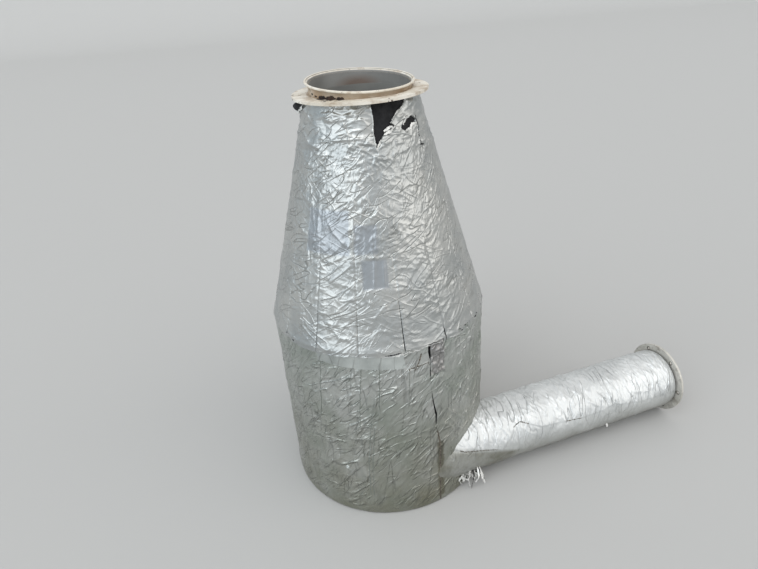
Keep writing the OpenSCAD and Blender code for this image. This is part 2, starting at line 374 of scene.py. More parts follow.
def cone_relief():
    """The cone's foil: pulled into level folds at the top, gathered beside the seams lower down."""
    relief = Relief((BEHIND_DEG, 84.5), (0.46, 1.06), UNROLL_R)
    turn, height = relief.turn_deg, relief.along_mm
    rough = np.clip((relief.clouds(70, 11) - 0.2) * 2, 0.3, 1)
    share = np.interp(turn, (-279, -200, -146, -122, -113, -50, 84), (0.8, 0.5, 0.4, 0.55, 1, 1, 0.8))
    rough = np.maximum(rough * share, between(height, 880, 950))
    relief.facets(34, 1.2, 1, (1.3, 0.9))
    relief.facets(13, 0.45, 2, (1.6, 0.8), rough)
    relief.facets(6.5, 0.26, 3, (1.2, 0.9), rough)
    relief.folds(CONE_FOLDS, 1.8, 2.6)
    relief.scatter(4, 560, ALL_ROUND, (925, 1040), 0, 14, (18, 60), 1.6, 2.1)
    relief.scatter(5, 700, ALL_ROUND, (740, 950), 15, 50, (9, 26), 1.4, 1.25)
    relief.scatter(6, 320, (-115, -45), (600, 960), 40, 45, (8, 26), 1.4, 1.7)
    relief.scatter(7, 700, ALL_ROUND, (530, 800), 15, 50, (8, 26), 1.4, 1.3)
    relief.scatter(8, 200, (-240, -132), (540, 920), 90, 8, (30, 90), 1.8, 0.9)
    rng = np.random.default_rng(9)
    for seam in SEAMS_DEG:
        around = (seam - BEHIND_DEG) % 360 + BEHIND_DEG
        for z in np.arange(525, 780, 5.0):
            for side in (-1, 1):
                if rng.random() < 0.3:
                    continue
                start = relief.place(around, z + rng.uniform(-2, 2))
                reach = rng.uniform(5, 16) * MM / relief.PITCH
                end = start + reach * np.array([side, rng.uniform(-0.5, 0.5)])
                relief.fold([start, end], 1.1, rng.uniform(0.6, 1.4), 0.2, taper=False)
    patch = between(turn, -115.5, -113.5) * (1 - between(turn, -101.5, -99.5))
    patch = patch * between(height, 660, 667) * (1 - between(height, 721, 727))
    relief.height *= (1 - 0.8 * patch).astype(np.float32)
    relief.folds(PATCH_FOLDS, 1.6, 2.2)
    relief.soften()
    return relief


def barrel_relief():
    """The barrel's foil: smoother, with long slanting folds and a crumpled patch beside the front seam."""
    relief = Relief((BEHIND_DEG - 2, 84.5), (0, 0.53), WRAP_R)
    turn, height = relief.turn_deg, relief.along_mm
    rough = np.clip((relief.clouds(80, 21) - 0.25) * 2, 0.25, 1)
    patch = between(turn, -85, -82.5) * (1 - between(turn, -77, -73)) * between(height, 395, 430)
    band = 1 - 0.7 * between(height, 470, 482) * between(turn, -145, -138) * (1 - between(turn, -100, -95))
    relief.facets(42, 1.2, 22, (0.8, 1.3))
    relief.facets(15, 0.45, 23, (0.8, 1.4), rough * band)
    relief.facets(7, 0.3, 24, (0.9, 1.2), rough * band)
    relief.facets(10, 4.5, 27, (1, 1), patch)
    relief.scatter(25, 620, (BEHIND_DEG, -86), (20, 460), 55, 15, (14, 50), 1.5, 1.8)
    relief.scatter(26, 260, ALL_ROUND, (10, 500), 80, 45, (8, 26), 1.5, 1.0)
    relief.scatter(28, 120, (-79, -48), (190, 440), -58, 14, (14, 50), 1.6, 1.7)
    relief.scatter(29, 150, (-72, -20), (200, 500), 90, 14, (18, 70), 1.8, 2.6)
    relief.scatter(30, 260, (-20, 84), (20, 500), 62, 18, (14, 50), 1.7, 1.4)
    relief.scatter(31, 90, (-84, -75.5), (425, 520), 60, 60, (5, 16), 1.4, 3.0)
    relief.height *= band.astype(np.float32)
    relief.folds(BARREL_FOLDS, 2.2, 3.6)
    relief.folds([LAP_SEAM], 1.8, 4.2)
    relief.folds([[(turn_deg - 2.2, z) for turn_deg, z in LAP_SEAM if z < 500]], 1.8, 3.6)
    relief.folds(BARREL_LINES, 1.7, 3.0)
    pin = np.hypot((turn - PIN_DEG) * math.radians(1) * WRAP_R, height * MM - PIN_Z)
    relief.height -= (1.2 * MM * np.exp(-(pin / (9 * MM)) ** 2)).astype(np.float32)
    relief.soften()
    return relief


def duct_relief():
    """The duct's foil: dense folds round its upper side, smooth underneath, and a lap along the front."""
    relief = Relief((0, 360), (0, 0.84), DUCT_R)
    turn, along = relief.turn_deg, relief.along_mm
    upper = np.clip(1.15 - np.abs(turn - 95) / 110, 0.2, 1)
    relief.facets(26, 1.3, 31, (0.9, 1.1))
    relief.facets(11, 0.9, 32, (1.5, 0.8), upper)
    relief.facets(5.5, 0.45, 33, (1.4, 0.8), upper)
    relief.scatter(34, 620, (15, 172), (120, 825), 14, 24, (12, 50), 1.4, 1.8)
    relief.scatter(35, 130, (180, 355), (120, 820), 10, 40, (10, 30), 1.5, 0.5)
    relief.folds(DUCT_FOLDS, 1.8, 2.6)
    relief.soften()
    lap = np.interp(along, *zip(*DUCT_LAP))
    step = (turn < lap) * np.clip(1 - (lap - turn) / 26, 0, 1)
    relief.height += (1.4 * MM * step).astype(np.float32)
    return relief


CONE = cone_relief()
BARREL = barrel_relief()
DUCT = duct_relief()


def shade(value):
    """A grey value or a screen colour as the linear one that nodes take. Anything else stays as it is."""
    if isinstance(value, (int, float)):
        return (value, value, value, 1)
    if isinstance(value, tuple):
        return [((c + 0.055) / 1.055) ** 2.4 if c > 0.04045 else c / 12.92 for c in value] + [1]
    return value


class Socket:
    """A value in a net of shader nodes. A sum of sockets and numbers becomes a node."""

    def __init__(self, net, output):
        self.net, self.output = net, output

    def __add__(self, other):
        return self.net.math("ADD", self, other)

    def __sub__(self, other):
        return self.net.math("SUBTRACT", self, other)

    def __rsub__(self, other):
        return self.net.math("SUBTRACT", other, self)

    def __mul__(self, other):
        return self.net.math("MULTIPLY", self, other)

    def __truediv__(self, other):
        return self.net.math("DIVIDE", self, other)

    def __abs__(self):
        return self.net.math("ABSOLUTE", self)


class Net:
    """The shader nodes of a material or of the world."""

    def __init__(self, tree):
        self.tree = tree

    def feed(self, place, value):
        """Links a socket to an input, or sets the input to a plain value."""
        if isinstance(value, Socket):
            self.tree.links.new(value.output, place)
        else:
            place.default_value = value

    def node(self, kind, inputs, output=0, **settings):
        """One output of a new node, whose inputs are given by name or number."""
        made = self.tree.nodes.new("ShaderNode" + kind)
        for key, value in settings.items():
            setattr(made, key, value)
        for key, value in inputs.items():
            self.feed(made.inputs[key], value)
        return Socket(self, made.outputs[output])

    def math(self, operation, *values):
        """One sum."""
        return self.node("Math", dict(enumerate(values)), operation=operation)

    def most(self, values):
        """The largest of some values."""
        largest, *others = values
        for value in others:
            largest = self.math("MAXIMUM", largest, value)
        return largest

    def vector(self, operation, *values, output=0):
        """One sum of vectors."""
        return self.node("VectorMath", dict(enumerate(values)), output, operation=operation)

    def place(self, stretch=(1, 1, 1)):
        """The object's own coordinates, stretched."""
        return self.node("Mapping", {"Vector": self.node("TexCoord", {}, "Object"), "Scale": stretch})

    def axes(self, vector=None):
        """X, Y and Z of a vector, or else of the object's own coordinates."""
        split = self.tree.nodes.new("ShaderNodeSeparateXYZ")
        self.feed(split.inputs[0], vector or self.place())
        return [Socket(self, output) for output in split.outputs]

    def noise(self, scale, detail=4.0, roughness=0.55, stretch=(1, 1, 1)):
        """Noise over the object's own coordinates."""
        inputs = {"Scale": scale, "Detail": detail, "Roughness": roughness, "Vector": self.place(stretch)}
        return self.node("TexNoise", inputs)

    def ramp(self, factor, *stops):
        """Colours or grey values along a factor."""
        node = self.tree.nodes.new("ShaderNodeValToRGB")
        for _ in stops[2:]:
            node.color_ramp.elements.new(0.5)
        for element, (position, value) in zip(node.color_ramp.elements, stops):
            element.position = position
            element.color = shade(value)
        self.feed(node.inputs["Fac"], factor)
        return Socket(self, node.outputs["Color"])

    def clouded(self, low, high, *noise):
        """A ramp over noise, with its two stops."""
        return self.ramp(self.noise(*noise), low, high)

    def blend(self, factor, first, second):
        """Mixes two colours."""
        return self.node("Mix", {0: factor, 6: shade(first), 7: shade(second)}, 2, data_type="RGBA")

    def near(self, centre, radius, stretch=(1, 1, 1)):
        """1 at a place, falling to 0 at the radius."""
        centre = [c * s for c, s in zip(centre, stretch)]
        return 1.0 - self.vector("DISTANCE", self.place(stretch), centre, output="Value") / radius

    def share(self, value, low, high):
        """0 at the lower value and 1 at the upper one."""
        return self.node("MapRange", {"Value": value, "From Min": low, "From Max": high})

    def unrolled(self, on_duct):
        """A surface laid flat, in metres: the way round from the front in X, and the way along in Y."""
        x, y, z = self.axes()
        if on_duct:
            aside, toward, along, radius = z - DUCT_Z, DUCT_Y - y, x, DUCT_R
        else:
            aside, toward, along, radius = x, y * -1.0, z, UNROLL_R
        return self.node("CombineXYZ", {0: self.math("ARCTAN2", aside, toward) * radius, 1: along})

    def fold_lines(self, surface, scale, slope_deg, stretch, width):
        """1 along thin lines that run mostly at a slope from round the surface, and 0 between them."""
        inputs = {"Vector": surface, "Rotation": (0, 0, math.radians(slope_deg)), "Scale": (stretch, 1, 1)}
        turned = self.node("Mapping", inputs, vector_type="TEXTURE")
        inputs = {"Vector": turned, "Scale": scale, "Detail": 1.0, "Distortion": 0.5}
        pattern = self.node("TexNoise", inputs)
        return self.math("MAXIMUM", 1.0 - abs(pattern - 0.5) / width, 0.0)

    def window(self, surface, turns_deg, heights):
        """1 inside a range of directions and heights, with a soft ragged edge."""
        ragged = self.noise(45, 4) * (9 * MM)
        turns = [UNROLL_R * math.radians(turn + 90) for turn in turns_deg]
        shares = []
        for value, (low, high) in zip(self.axes(surface), (turns, heights)):
            half = (high - low) / 2
            off = abs(value - (low + high) / 2) + ragged
            shares.append(self.share(off, half + 7 * MM, half + 2 * MM))
        return shares[0] * shares[1]

    def facing_in(self):
        """1 on faces that look at the cyclone's axis."""
        outward = self.vector("NORMALIZE", self.vector("MULTIPLY", self.place(), (1, 1, 0)))
        normal = self.node("NewGeometry", {}, "Normal")
        facing_out = self.vector("DOT_PRODUCT", outward, normal, output="Value")
        return self.ramp(facing_out * -1.0, (0.72, 0.0), (0.9, 1.0))


class Finish(Net):
    """A material made of shader nodes."""

    def __init__(self, name):
        self.made = bpy.data.materials.new(name)
        self.made.use_nodes = True
        super().__init__(self.made.node_tree)

    def finish(self, colour, roughness, metallic=0.0, height=None, strength=1.0, depth_mm=1.0):
        """Sets the shader and returns the material. height is fine relief in the shading."""
        inputs = self.tree.nodes["Principled BSDF"].inputs
        self.feed(inputs["Base Color"], shade(colour))
        self.feed(inputs["Roughness"], roughness)
        self.feed(inputs["Metallic"], metallic)
        if height:
            relief = {"Strength": strength, "Distance": depth_mm * MM, "Height": height}
            self.feed(inputs["Normal"], self.node("Bump", relief))
        return self.made


# Grey painted into the dark fold lines as shade in the creases
CREASE_SHADE_GREY = (0.30, 0.31, 0.29)
# Widths of the fold lines, as a share of their spacing
FOLD_WIDTH = 0.075
DARK_WIDTH = 0.028


def foil(name, bright, dull, rough, metallic, folds, dirt_and_shade=None, dirty=(0.5, 0), on_duct=False, patches=()):
    """Aluminium foil, dulled in places, with folds. Each fold pattern is its scale, slope in degrees,
    stretch, height in mm, the heights of the part in metres where it starts and where it is full, and how
    dark it is, as painted shade along its lines. Each patch is its directions, its heights, its colour and
    how smooth it is. dirty holds the heights where the darker low tone starts and where it is full: grime on
    the barrel, painted shade on the duct's underside."""
    net = Finish(name)
    colour = net.clouded((0.34, dull), (0.62, bright), 9, 6, 0.62)
    x, y, z = net.axes()
    surface = net.unrolled(on_duct)
    folded = None
    for turns_deg, heights, tone, calm in patches:
        patch = net.window(surface, turns_deg, heights)
        colour = net.blend(patch * 0.8, colour, tone)
        left = 1.0 - patch * calm
        folded = folded * left if folded else left
    # A darker tone low down: grime on the barrel, painted shade on the duct's underside
    if dirt_and_shade:
        low = net.share(z, *dirty) * 0.9
        if on_duct:
            # A tongue under the duct beside the barrel, where the barrel's duller foil runs on, darkened
            # with the same painted shade
            low = net.most([low, net.share(x, 0.38, 0.26) * net.share(x * 0.3 + z, 0.188, 0.172)])
        colour = net.blend(low * net.clouded((0.3, 0.5), (0.7, 1.0), 12, 6, 0.6), colour, dirt_and_shade)
    height = net.noise(160, 4, 0.6) * 0.25
    for k, (scale, slope_deg, stretch, rise, start, full, dark) in enumerate(folds):
        part = net.clouded((0.42, 0.12), (0.58, 1.0), 8 + 2.5 * k, 2) * net.share(z, start, full)
        part = part * folded if folded else part
        width = DARK_WIDTH if dark else FOLD_WIDTH
        lines = net.fold_lines(surface, scale, slope_deg, stretch, width) * part
        height = lines * rise + height
        # Dark fold lines get painted shade in the crease
        if dark:
            colour = net.blend(lines * dark, colour, CREASE_SHADE_GREY)
    return net.finish(colour, net.clouded((0.3, rough[0]), (0.7, rough[1]), 30, 5), metallic, height)


def foam_material():
    """Matt black closed-cell foam."""
    net = Finish("foam")
    colour = net.clouded((0.3, (0.07, 0.07, 0.08)), (0.75, (0.16, 0.16, 0.17)), 60, 6)
    return net.finish(colour, 0.92, 0.0, net.noise(500, 5, 0.7), 0.7, 0.8)


def dirt_and_shadow_material():
    """Dark grime and tar in the joints of the foil, and painted shadow under the lap of the duct's foil."""
    net = Finish("dirt_and_shade")
    return net.finish(net.clouded((0.3, (0.20, 0.18, 0.16)), (0.75, (0.48, 0.45, 0.40)), 200, 5), 0.8)


# Spots of a black smear on the neck: direction in degrees, height and radius in metres
SMEAR_SPOTS = [
    (-152, 1.050, 0.017), (-140, 1.051, 0.018), (-129, 1.050, 0.013), (-171, 1.055, 0.007),
    (-163, 1.052, 0.007),
]

# Heights where the brown under the lip, grime and painted shadow, starts and where it is full
UNDER_LIP = (1.0665, 1.0645)


def paint_material():
    """Cream paint, brown below the lip with grime and painted shadow, with rust and a black smear, and grey
    inside the neck.
    """
    net = Finish("paint")
    coat = net.clouded((0.3, (0.82, 0.79, 0.73)), (0.7, (0.92, 0.90, 0.86)), 14, 5)
    x, y, z = net.axes()
    radius = net.math("SQRT", x * x + y * y)
    lean = [math.tan(LIP_LEAN) * c for c in (math.cos(LIP_LEAN_TURN), math.sin(LIP_LEAN_TURN))]
    level = x * lean[0] + (y * lean[1] + z)
    # Brown on the neck under the lip: grime and painted shadow
    under_lip_grime_and_shadow = net.share(radius, NECK_R + 6.5 * MM, NECK_R + 3.5 * MM) * net.share(level, *UNDER_LIP)
    under_lip_grime_and_shadow = under_lip_grime_and_shadow * net.clouded((0.3, 0.45), (0.7, 1.0), 22, 5)
    brown = net.most([net.clouded((0.48, 0.0), (0.68, 0.7), 35, 6, 0.65, (1, 1, 1.6)), under_lip_grime_and_shadow])
    coat = net.blend(brown, coat, (0.60, 0.50, 0.38))
    rust = net.clouded((0.35, (0.09, 0.08, 0.08)), (0.75, (0.30, 0.22, 0.17)), 60, 6)
    chips = net.clouded((0.62, 0.0), (0.67, 1.0), 42, 8, 0.65)
    smear = net.most([
        net.near(on_axis(math.radians(turn), NECK_R, z), r, (1, 1, 2.4)) for turn, z, r in SMEAR_SPOTS
    ])
    ragged = net.noise(150, 5, 0.6) * 1.3 + (smear - 0.75)
    worn = net.most([chips, net.ramp(ragged, (0.12, 0.0), (0.2, 1.0))])
    lining = net.clouded((0.35, (0.48, 0.48, 0.47)), (0.7, (0.57, 0.57, 0.56)), 9, 5)
    stain = net.ramp(net.near((0.03, 0.11, 1.043), 0.07, (1, 1, 2.6)), (0.1, 0.0), (0.7, 0.7))
    lining = net.blend(stain, lining, (0.43, 0.34, 0.28))
    colour = net.blend(net.facing_in(), net.blend(worn, coat, rust), lining)
    rough = net.ramp(worn, (0.0, 0.45), (1.0, 0.85))
    return net.finish(colour, rough, 0.0, worn * -0.4 + net.noise(120, 4), 0.35, 0.4)


def steel_material():
    """Dull dusty sheet steel with a film of rust."""
    net = Finish("steel")
    grey = net.clouded((0.3, (0.56, 0.56, 0.55)), (0.7, (0.68, 0.68, 0.66)), 7, 6)
    rust = net.clouded((0.3, (0.30, 0.22, 0.18)), (0.7, (0.44, 0.35, 0.29)), 25, 6)
    spots = net.clouded((0.60, 0.0), (0.70, 0.8), 8, 8, 0.65)
    return net.finish(net.blend(spots, grey, rust), 0.75, 0.15, net.noise(90, 5), 0.25, 0.5)


def zinc_material():
    """Weathered zinc with a faint spangle, and painted shade in and round the bolt holes."""
    net = Finish("galvanised")
    spangle = net.node("TexVoronoi", {"Scale": 90, "Vector": net.place()}, "Color")
    flakes = net.ramp(spangle, (0.2, (0.72, 0.71, 0.68)), (0.8, (0.82, 0.81, 0.78)))
    stained_and_hole_shade = net.blend(net.clouded((0.55, 0.0), (0.75, 0.8), 18, 7, 0.65), flakes, (0.44, 0.38, 0.32))
    # Painted shade in and round the bolt holes
    turns = np.radians(range(0, 360, 60))
    holes = net.most([net.near(on_duct(SLEEVE_END_X, turn, FLANGE_HOLE_R), 13 * MM) for turn in turns])
    stained_and_hole_shade = net.blend(net.ramp(holes, (0.3, 0.0), (0.5, 1.0)), stained_and_hole_shade, (0.13, 0.11, 0.10))
    rough = net.clouded((0.3, 0.42), (0.7, 0.6), 50, 4)
    return net.finish(stained_and_hole_shade, rough, 0.35, net.noise(150, 4), 0.2, 0.3)


# The blue-grey of the smooth patches on the cone is a painted reflection
SMOOTH_PATCH_REFLECTION_BLUE = (0.63, 0.65, 0.67)
CONE_FOIL = foil(
    "foil_cone", (0.76, 0.765, 0.755), (0.66, 0.675, 0.675), (0.25, 0.37), 0.82,
    [
        (24, 2, 7, 1.4, 0.84, 0.93, 0), (34, 38, 3.5, 1.1, 1.0, 0.9, 0), (40, -28, 2.6, 0.8, 1.0, 0.9, 0),
        (24, 88, 9, 0.5, 1.0, 0.85, 0), (44, 24, 4, -1.0, 0.5, 0.6, 0.45), (70, 60, 3, 0.5, 1.0, 0.9, 0),
    ],
    patches=[
        ((-115, -100.5), (0.662, 0.725), SMOOTH_PATCH_REFLECTION_BLUE, 0.9),
        ((-119, -104.5), (0.738, 0.80), SMOOTH_PATCH_REFLECTION_BLUE, 0.6), ((-152, -122), (0.735, 0.83), SMOOTH_PATCH_REFLECTION_BLUE, 0.4),
    ],
)
BARREL_FOIL = foil(
    "foil_barrel", (0.74, 0.75, 0.74), (0.61, 0.635, 0.61), (0.26, 0.38), 0.7,
    [
        (26, 56, 4, 3.6, 0, 0.03, 0), (22, 88, 9, 2.5, 0, 0.03, 0), (38, 35, 2.5, 2.4, 0, 0.03, 0),
        (46, 58, 6, -1.6, 0, 0.03, 0.3), (38, 87, 9, -1.2, 0, 0.03, 0.3), (62, 60, 4, 1.3, 0, 0.03, 0),
    ],
    (0.46, 0.45, 0.37),
    patches=[
        ((-83.6, -75.5), (0.43, 0.53), (0.60, 0.59, 0.59), 0.0),
        ((-81.4, -77.2), (0.02, 0.21), (0.26, 0.24, 0.21), 0.0),
    ],
)
# Its darker low tone is painted shade on the duct's underside
DUCT_FOIL = foil(
    "foil_duct", (0.88, 0.89, 0.89), (0.80, 0.81, 0.81), (0.29, 0.39), 0.5,
    [
        (30, 12, 3.5, 1.3, 0.06, 0.13, 0), (44, -16, 2.5, 0.8, 0.06, 0.13, 0),
        (34, 8, 4, -1.6, 0.06, 0.13, 0.28), (60, 20, 4, 0.9, 0.06, 0.13, 0),
    ],
    (0.38, 0.37, 0.295), (0.135, 0.05), on_duct=True,
)
TAPE = foil(
    "tape", (0.79, 0.81, 0.80), (0.63, 0.65, 0.64), (0.28, 0.40), 0.65, [(34, 88, 6, 1.0, 0, 0.03, 0.4)],
)
SHRED = foil("shred", (0.92, 0.92, 0.91), (0.84, 0.84, 0.82), (0.4, 0.5), 0.3, [])
# Darker foil that paints shade along the barrel's crease lines
CREASE_SHADE = foil("crease", (0.52, 0.54, 0.52), (0.42, 0.44, 0.41), (0.3, 0.4), 0.5, [])
FOAM_MATERIAL = foam_material()
DIRT_AND_LAP_SHADOW = dirt_and_shadow_material()
PAINT = paint_material()
STEEL = steel_material()

for node, finish in {
    "roof_plate": STEEL, "barrel_shell": STEEL, "cone_shell": STEEL, "vortex_finder": STEEL,
    "inlet_duct": STEEL, "inlet_flange": zinc_material(), "neck_collar": PAINT, "dust_flange": PAINT,
    "roof_pad": FOAM_MATERIAL,
}.items():
    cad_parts[node].data.materials.clear()
    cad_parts[node].data.materials.append(finish)

# Numbers of the finishes on each foil piece
FOIL_FACE, FOAM_FACE, DIRT_AND_SHADOW_FACE, OTHER_FACE = range(4)


def add(name, data):
    """A new object in the scene."""
    made = bpy.data.objects.new(name, data)
    bpy.context.scene.collection.objects.link(made)
    return made


def new_mesh(name, points, faces, finishes):
    """A mesh with its finishes."""
    mesh = bpy.data.meshes.new(name)
    mesh.from_pydata(np.asarray(points).tolist(), [], faces)
    for finish in finishes:
        mesh.materials.append(finish)
    return mesh


def smooth(piece, angle_deg=42):
    """Smooth shading with sharp edges where faces turn by more than the angle."""
    piece.data.shade_smooth()
    piece.data.set_sharp_from_angle(angle=math.radians(angle_deg))


def mesh_piece(name, points, quads, caps, finishes, finish):
    """A closed mesh that rides on the frame, with a finish number for each face."""
    a, b, c, d = (points[quads[:, k]] for k in range(4))
    volume = (a * np.cross(b, c) + a * np.cross(c, d)).sum()
    for cap in caps:
        volume += (points[cap[0]] * np.cross(points[cap[1:-1]], points[cap[2:]])).sum()
    faces = quads.tolist() + caps
    if volume < 0:
        faces = [face[::-1] for face in faces]
    mesh = new_mesh(name, points, faces, finishes)
    mesh.polygons.foreach_set("material_index", np.asarray(finish, np.int32))
    mesh.update()
    piece = add(name, mesh)
    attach(piece, "root")
    return piece


def zipped(ring, points, outer_count):
    """Triangles across an end ring, between its outer side, running down, and its inner side, running up."""
    outer, inner = ring[:outer_count].tolist(), ring[outer_count:][::-1].tolist()
    faces = []
    i = j = 0
    while i < len(outer) - 1 or j < len(inner) - 1:
        outer_left, inner_left = i < len(outer) - 1, j < len(inner) - 1
        if not inner_left or (outer_left and points[outer[i + 1], 2] >= points[inner[j + 1], 2]):
            faces.append([outer[i], outer[i + 1], inner[j]])
            i += 1
        else:
            faces.append([outer[i], inner[j + 1], inner[j]])
            j += 1
    return faces


def ring_mesh(name, rings, surface, finishes, node=None, wrap=False, outer_count=None):
    """A closed piece from rings of points side by side, which may stand for a node. surface holds the
    finish of the foil faces, and the rest is foam."""
    columns, size = rings.shape[:2]
    points = rings.reshape(-1, 3)
    index = np.arange(columns * size).reshape(columns, size)
    here, beside = (index, np.roll(index, -1, 0)) if wrap else (index[:-1], index[1:])
    quads = np.stack([here, np.roll(here, -1, 1), np.roll(beside, -1, 1), beside], -1)
    caps = [] if wrap else [index[0][::-1].tolist(), index[-1].tolist()]
    if outer_count:
        first, last = (zipped(index[end], points, outer_count) for end in (0, -1))
        caps = [face[::-1] for face in first] + last
    finish = np.full(quads.shape[:2], FOAM_FACE)
    finish[:, :surface.shape[1]] = surface
    finish = finish.reshape(-1).tolist() + [FOAM_FACE] * len(caps)
    piece = mesh_piece(name, points, quads.reshape(-1, 4), caps, finishes, finish)
    if node:
        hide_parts(node)
    return piece


def steps(start, end, pitch):
    """Even positions from start to end, about pitch apart."""
    return np.linspace(start, end, max(2, int(abs(end - start) / pitch) + 1))


def columns_of(start_deg, end_deg, fine, coarse):
    """Directions for the columns of a grid on the barrel, closer together where the photograph looks."""
    cuts = [start_deg] + [d for d in FRONT_DEG if start_deg < d < end_deg] + [end_deg]
    parts = []
    for a, b in zip(cuts[:-1], cuts[1:]):
        front = FRONT_DEG[0] <= (a + b) / 2 <= FRONT_DEG[1]
        parts.append(steps(math.radians(a), math.radians(b), (fine if front else coarse) / WRAP_R)[:-1])
    return np.concatenate(parts + [[math.radians(end_deg)]])


def shares(values):
    """0 at the first value and 1 at the last."""
    return (values - values[0]) / (values[-1] - values[0])


def middles(grid):
    """Values at the middles of a grid's faces."""
    return (grid[:-1, :-1] + grid[1:, :-1] + grid[:-1, 1:] + grid[1:, 1:]) / 4


def spread(mask, times):
    """Lets a mask grow by some cells of its grid."""
    grown = mask.astype(float)
    for _ in range(times):
        wide = np.pad(grown, 1, mode="edge")
        grown = np.maximum.reduce([grown, wide[2:, 1:-1], wide[:-2, 1:-1], wide[1:-1, 2:], wide[1:-1, :-2]])
    return grown


def seam_dip(distance):
    """1 at a seam, falling off beside it."""
    return np.exp(-(distance / (1.8 * MM)) ** 2)


SKIRT = 10 * MM
LAP = 1.8 * MM
CONE_SLOPE = math.atan2(WRAP_R - CONE_TOP_R, CONE_TOP_Z - SHOULDER_Z)
TEAR_DEPTH = 1.8 * MM
# Length of one degree round the cone where it is torn, in mm
TEAR_DEGREE = 2.5
# The gores' rows are closer together above this height, and their seams are faint above the other one
FINE_ROWS_Z = 0.93
FAINT_SEAMS_Z = 0.78


def cone_radius(z):
    """Radius of the outside of the cone's foam."""
    return WRAP_R + (CONE_TOP_R - WRAP_R) * (z - SHOULDER_Z) / (CONE_TOP_Z - SHOULDER_Z)


def seam_opening(seam_deg, z):
    """Half the gap at a gore seam, as an angle."""
    half = np.full(z.shape, 0.02 * MM)
    for gape_deg, low, high, wide_low, wide_high in GAPES:
        if abs(gape_deg - seam_deg) < 1:
            wide = wide_low + (wide_high - wide_low) * between(z / MM, low, high)
            half += MM * wide * np.clip((high - z / MM) / 12, 0, 1)
    return half / WRAP_R


def torn(turn_deg, height_mm):
    """Where the cone's foil is missing."""
    hit = line_distance(TORN_LINES, turn_deg, height_mm, TEAR_DEGREE) < 1.3
    kept = np.zeros(hit.shape, bool)
    for outline in ISLANDS:
        kept |= within(outline, turn_deg, height_mm)
    for outline in TEARS:
        hit |= within(outline, turn_deg, height_mm) & ~kept
    return hit


def lump_rise(turn_deg, height_mm):
    """How far the foam bulges out under the dust flange."""
    return 21 * MM * np.exp(-((turn_deg - LUMP_DEG) / 9) ** 2 - ((height_mm - LUMP_MM) / 12) ** 2)


